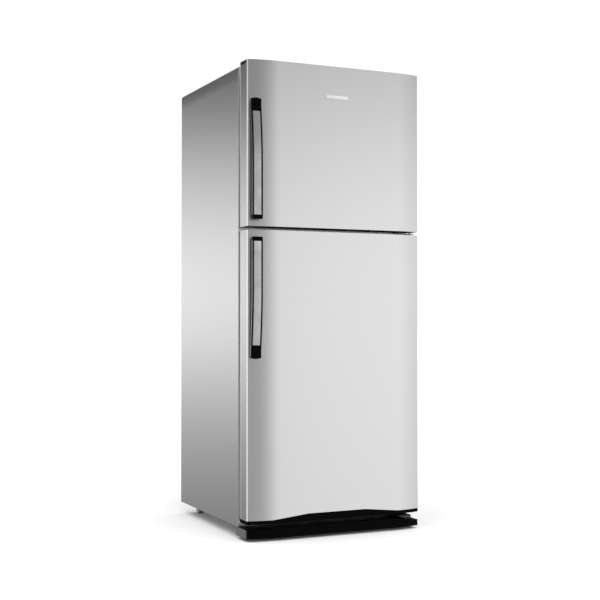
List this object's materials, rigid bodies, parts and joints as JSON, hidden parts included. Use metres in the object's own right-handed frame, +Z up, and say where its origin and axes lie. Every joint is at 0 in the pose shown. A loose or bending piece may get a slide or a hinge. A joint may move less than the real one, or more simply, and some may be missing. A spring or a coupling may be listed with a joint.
{
  "type": "top freezer refrigerator",
  "caption": "Upright two-door refrigerator with a freezer on top, bowed silver doors, bar handles on the left, door bins, shelves, drawers and a compressor room at the back.",
  "frame": {"origin": "on the floor, under the middle of the whole object's box", "axes": "+Z up, +Y to the back, +X to the viewer's right; the doors face -Y"},
  "size_m": [0.673, 0.726, 1.6565],
  "materials": {
    "brushed_silver": "satin",
    "silver_paint": "satin",
    "grey_paint": "satin",
    "zinc_steel": "satin",
    "black_plastic": "satin",
    "black_gloss": "gloss",
    "dark_grey_plastic": "matte",
    "white_plastic": "satin",
    "grey_plastic": "satin",
    "clear_plastic": "gloss",
    "shelf_glass": "gloss",
    "seal_rubber": "matte",
    "black_rubber": "matte",
    "coil_aluminium": "satin",
    "compressor_paint": "satin",
    "insulation_foam": "matte",
    "badge_metal": "satin"
  },
  "bodies": {
    "cabinet": {"outer_case": "silver_paint", "back_panel": "grey_paint", "foam_insulation": "insulation_foam", "freezer_liner": "white_plastic", "fridge_liner": "white_plastic", "base_plate": "zinc_steel", "compressor": "compressor_paint", "compressor_cover": "zinc_steel", "drip_tray": "black_plastic", "evaporator": "coil_aluminium", "evaporator_cover": "white_plastic", "fan_motor": "zinc_steel", "freezer_shelf": "white_plastic", "ice_maker_frame": "white_plastic", "fridge_duct": "white_plastic", "control_box": "white_plastic", "lamp_cover": "clear_plastic", "upper_shelf": "shelf_glass", "lower_shelf": "shelf_glass", "crisper_cover": "shelf_glass", "plinth": "black_plastic", "top_hinge": "zinc_steel", "top_hinge_cover": "grey_plastic", "middle_hinge": "zinc_steel", "bottom_hinge": "zinc_steel", "cord_inlet": "black_rubber"},
    "freezer_door": {"freezer_door_panel": "brushed_silver", "freezer_door_foam": "insulation_foam", "freezer_door_liner": "white_plastic", "freezer_door_top_cap": "dark_grey_plastic", "freezer_door_bottom_cap": "dark_grey_plastic", "freezer_gasket": "seal_rubber", "freezer_handle": "black_gloss", "freezer_handle_insert": "brushed_silver", "badge": "badge_metal"},
    "fridge_door": {"fridge_door_panel": "brushed_silver", "fridge_door_foam": "insulation_foam", "fridge_door_liner": "white_plastic", "fridge_door_top_cap": "dark_grey_plastic", "fridge_door_bottom_cap": "black_plastic", "fridge_gasket": "seal_rubber", "fridge_handle": "black_gloss", "fridge_handle_insert": "brushed_silver"},
    "fan": {"fan_blade": "black_plastic"},
    "ice_tray": {"ice_tray": "clear_plastic"},
    "ice_box": {"ice_box": "clear_plastic"},
    "temperature_knob": {"temperature_knob": "grey_plastic"},
    "chiller_tray": {"chiller_tray": "clear_plastic"},
    "crisper_drawer": {"crisper_drawer": "clear_plastic"},
    "humidity_slider": {"humidity_slider": "grey_plastic"},
    "left_foot": {"left_foot": "black_rubber"},
    "right_foot": {"right_foot": "black_rubber"},
    "left_roller": {"left_roller": "black_plastic"},
    "right_roller": {"right_roller": "black_plastic"},
    "freezer_upper_bin": {"freezer_upper_bin": "clear_plastic"},
    "freezer_lower_bin": {"freezer_lower_bin": "clear_plastic"},
    "dairy_bin": {"dairy_bin": "clear_plastic"},
    "dairy_lid": {"dairy_lid": "clear_plastic"},
    "middle_bin": {"middle_bin": "clear_plastic"},
    "bottle_bin": {"bottle_bin": "clear_plastic"}
  },
  "joints": [
    {"name": "freezer_door_swing", "type": "hinge", "parent": "cabinet", "child": "freezer_door", "pos_m": [0.3225, -0.2905, 1.364], "axis": [0, 0, 1], "range_deg": [0, 130]},
    {"name": "fridge_door_swing", "type": "hinge", "parent": "cabinet", "child": "fridge_door", "pos_m": [0.3225, -0.2905, 0.5625], "axis": [0, 0, 1], "range_deg": [0, 130]},
    {"name": "fan_spin", "type": "hinge", "parent": "cabinet", "child": "fan", "pos_m": [0, 0.265, 1.48925], "axis": [0, 1, 0], "continuous": true},
    {"name": "ice_tray_twist", "type": "hinge", "parent": "cabinet", "child": "ice_tray", "pos_m": [-0.1975, 0.03, 1.26113], "axis": [0, 1, 0], "range_deg": [0, 150], "stiffness_Nm_per_rad": 0.1},
    {"name": "ice_box_pull", "type": "slide", "parent": "cabinet", "child": "ice_box", "axis": [0, -1, 0], "range_m": [0, 0.045]},
    {"name": "temperature_knob_turn", "type": "hinge", "parent": "cabinet", "child": "temperature_knob", "pos_m": [-0.08, -0.103, 1.01025], "axis": [0, 1, 0], "range_deg": [0, 270]},
    {"name": "chiller_tray_pull", "type": "slide", "parent": "cabinet", "child": "chiller_tray", "axis": [0, -1, 0], "range_m": [0, 0.045]},
    {"name": "crisper_drawer_pull", "type": "slide", "parent": "cabinet", "child": "crisper_drawer", "axis": [0, -1, 0], "range_m": [0, 0.045]},
    {"name": "humidity_slide", "type": "slide", "parent": "cabinet", "child": "humidity_slider", "axis": [1, 0, 0], "range_m": [0, 0.03]},
    {"name": "left_foot_level", "type": "slide", "parent": "cabinet", "child": "left_foot", "axis": [0, 0, -1], "range_m": [0, 0.012]},
    {"name": "right_foot_level", "type": "slide", "parent": "cabinet", "child": "right_foot", "axis": [0, 0, -1], "range_m": [0, 0.012]},
    {"name": "left_roller_turn", "type": "hinge", "parent": "cabinet", "child": "left_roller", "pos_m": [-0.2765, 0.303, 0.016], "axis": [1, 0, 0], "continuous": true},
    {"name": "right_roller_turn", "type": "hinge", "parent": "cabinet", "child": "right_roller", "pos_m": [0.2765, 0.303, 0.016], "axis": [1, 0, 0], "continuous": true},
    {"name": "freezer_upper_bin_lift", "type": "slide", "parent": "freezer_door", "child": "freezer_upper_bin", "axis": [0, 0, 1], "range_m": [0, 0.02]},
    {"name": "freezer_lower_bin_lift", "type": "slide", "parent": "freezer_door", "child": "freezer_lower_bin", "axis": [0, 0, 1], "range_m": [0, 0.02]},
    {"name": "dairy_bin_lift", "type": "slide", "parent": "fridge_door", "child": "dairy_bin", "axis": [0, 0, 1], "range_m": [0, 0.02]},
    {"name": "middle_bin_lift", "type": "slide", "parent": "fridge_door", "child": "middle_bin", "axis": [0, 0, 1], "range_m": [0, 0.02]},
    {"name": "bottle_bin_lift", "type": "slide", "parent": "fridge_door", "child": "bottle_bin", "axis": [0, 0, 1], "range_m": [0, 0.02]},
    {"name": "dairy_lid_swing", "type": "hinge", "parent": "dairy_bin", "child": "dairy_lid", "pos_m": [0, -0.2485, 0.885], "axis": [1, 0, 0], "range_deg": [0, 80]}
  ]
}
